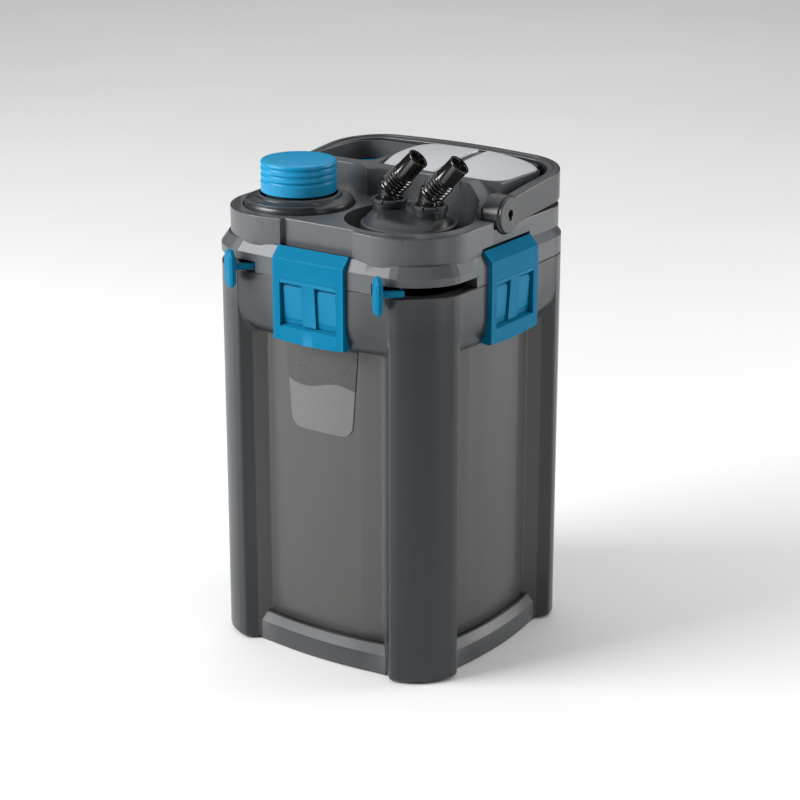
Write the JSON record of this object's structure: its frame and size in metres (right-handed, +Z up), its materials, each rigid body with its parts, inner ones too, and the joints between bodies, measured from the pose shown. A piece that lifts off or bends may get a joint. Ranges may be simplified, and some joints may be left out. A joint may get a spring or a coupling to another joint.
{
  "type": "canister filter",
  "caption": "Square canister filter with a latched pump head, primer button, carrying handle and two angled hose nozzles.",
  "frame": {"origin": "centre of the underside, on the surface the filter stands on", "axes": "+Z up, the front with the label faces -Y, the hose nozzles are front right, X runs along the handle's hinge"},
  "size_m": [0.2464, 0.253, 0.4389],
  "materials": {
    "dark_plastic": "moulded ABS, fine satin grain",
    "blue_plastic": "moulded, satin",
    "silver_plastic": "painted silver, fine metallic grain",
    "black_plastic": "glossy black",
    "rubber": "matt",
    "steel": "drawn wire",
    "ceramic": "matt, unglazed",
    "magnet": "sintered ferrite",
    "coarse_foam": "open-cell foam",
    "orange_foam": "open-cell foam",
    "fine_foam": "open-cell foam",
    "label": "printed film in two greys"
  },
  "bodies": {
    "canister": {"canister": "dark_plastic", "base_tray": "dark_plastic", "foot_pad_front_left": "rubber", "foot_pad_front_right": "rubber", "foot_pad_rear_left": "rubber", "foot_pad_rear_right": "rubber", "label_plate": "label", "filter_basket_1": "dark_plastic", "filter_basket_2": "dark_plastic", "filter_basket_3": "dark_plastic", "coarse_foam": "coarse_foam", "bio_media": "ceramic", "fine_foam": "fine_foam"},
    "head": {"head_shell": "dark_plastic", "head_seal": "rubber", "pump_cover_left": "silver_plastic", "pump_cover_right": "silver_plastic", "cover_strip": "dark_plastic", "cable_gland": "rubber", "motor_block": "dark_plastic", "pump_chamber_cover": "dark_plastic", "impeller_shaft": "ceramic", "shaft_bush_upper": "rubber", "shaft_bush_lower": "rubber", "outlet_duct": "dark_plastic", "handle_pin_left": "dark_plastic", "handle_pin_right": "dark_plastic", "latch_pin_front": "steel", "latch_pin_right": "steel", "latch_pin_rear": "steel", "latch_pin_left": "steel"},
    "impeller": {"rotor_magnet": "magnet", "impeller_wheel": "ceramic"},
    "handle": {"handle": "dark_plastic"},
    "auxiliary_cap": {"heater_port_cap": "blue_plastic"},
    "latch_front": {"latch_front": "blue_plastic", "latch_catch_front": "blue_plastic"},
    "latch_right": {"latch_right": "blue_plastic", "latch_catch_right": "blue_plastic"},
    "latch_rear": {"latch_rear": "blue_plastic", "latch_catch_rear": "blue_plastic"},
    "latch_left": {"latch_left": "blue_plastic", "latch_catch_left": "blue_plastic"},
    "prefilter": {"prefilter_head": "dark_plastic", "prefilter_cage": "dark_plastic", "prefilter_foam": "orange_foam", "prefilter_tube": "dark_plastic", "prefilter_seal": "rubber", "primer_spring": "steel"},
    "primer": {"primer_cap": "blue_plastic", "primer_piston": "dark_plastic"},
    "adaptor": {"adaptor_body": "dark_plastic", "adaptor_seal": "rubber"},
    "nut_left": {"union_nut_left": "dark_plastic"},
    "nut_right": {"union_nut_right": "dark_plastic"},
    "nozzle_left": {"nozzle_left": "black_plastic"},
    "nozzle_right": {"nozzle_right": "black_plastic"},
    "adaptor_lock": {"adaptor_lock_lever": "blue_plastic"},
    "prefilter_lock": {"prefilter_lock_lever": "blue_plastic"}
  },
  "joints": [
    {"name": "head_lift", "type": "slide", "parent": "canister", "child": "head", "axis": [0, 0, 1], "range_m": [0, 0.335]},
    {"name": "handle_swing", "type": "hinge", "parent": "head", "child": "handle", "pos_m": [0, -0.001, 0.386], "axis": [1, 0, 0], "range_deg": [0, 80]},
    {"name": "latch_front_open", "type": "hinge", "parent": "head", "child": "latch_front", "pos_m": [0, -0.1118, 0.3545], "axis": [-1, 0, 0], "range_deg": [0, 100]},
    {"name": "latch_right_open", "type": "hinge", "parent": "head", "child": "latch_right", "pos_m": [0.1144, 0, 0.3545], "axis": [0, -1, 0], "range_deg": [0, 100]},
    {"name": "latch_rear_open", "type": "hinge", "parent": "head", "child": "latch_rear", "pos_m": [0, 0.1118, 0.3545], "axis": [1, 0, 0], "range_deg": [0, 100]},
    {"name": "latch_left_open", "type": "hinge", "parent": "head", "child": "latch_left", "pos_m": [-0.1144, 0, 0.3545], "axis": [0, 1, 0], "range_deg": [0, 100]},
    {"name": "prefilter_lift", "type": "slide", "parent": "head", "child": "prefilter", "axis": [0, 0, 1], "range_m": [0, 0.372]},
    {"name": "primer_press", "type": "slide", "parent": "prefilter", "child": "primer", "axis": [0, 0, -1], "range_m": [0, 0.015], "stiffness_N_per_m": 400, "springref_m": -0.004, "deforming": ["primer_spring"]},
    {"name": "adaptor_lift", "type": "slide", "parent": "head", "child": "adaptor", "axis": [0, 0, 1], "range_m": [0, 0.045]},
    {"name": "nut_left_turn", "type": "hinge", "parent": "adaptor", "child": "nut_left", "pos_m": [0.029, -0.046, 0.395], "axis": [0, 0, 1], "range_deg": [0, 90]},
    {"name": "nut_right_turn", "type": "hinge", "parent": "adaptor", "child": "nut_right", "pos_m": [0.069, -0.046, 0.395], "axis": [0, 0, 1], "range_deg": [0, 90]},
    {"name": "nozzle_left_turn", "type": "hinge", "parent": "adaptor", "child": "nozzle_left", "pos_m": [0.029, -0.046, 0.4], "axis": [0, 0, 1], "range_deg": [-35, 35]},
    {"name": "nozzle_right_turn", "type": "hinge", "parent": "adaptor", "child": "nozzle_right", "pos_m": [0.069, -0.046, 0.4], "axis": [0, 0, 1], "range_deg": [-35, 35]},
    {"name": "adaptor_lock_turn", "type": "hinge", "parent": "head", "child": "adaptor_lock", "pos_m": [0.049, -0.046, 0.3405], "axis": [0, 0, 1], "range_deg": [0, 45]},
    {"name": "prefilter_lock_turn", "type": "hinge", "parent": "head", "child": "prefilter_lock", "pos_m": [-0.057, -0.055, 0.3405], "axis": [0, 0, -1], "range_deg": [0, 55]},
    {"name": "auxiliary_cap_turn", "type": "hinge", "parent": "head", "child": "auxiliary_cap", "pos_m": [-0.06, 0.054, 0.391], "axis": [0, 0, 1], "range_deg": [0, 60]},
    {"name": "impeller_spin", "type": "hinge", "parent": "head", "child": "impeller", "pos_m": [0.035, 0.055, 0.36], "axis": [0, 0, 1], "continuous": true}
  ]
}
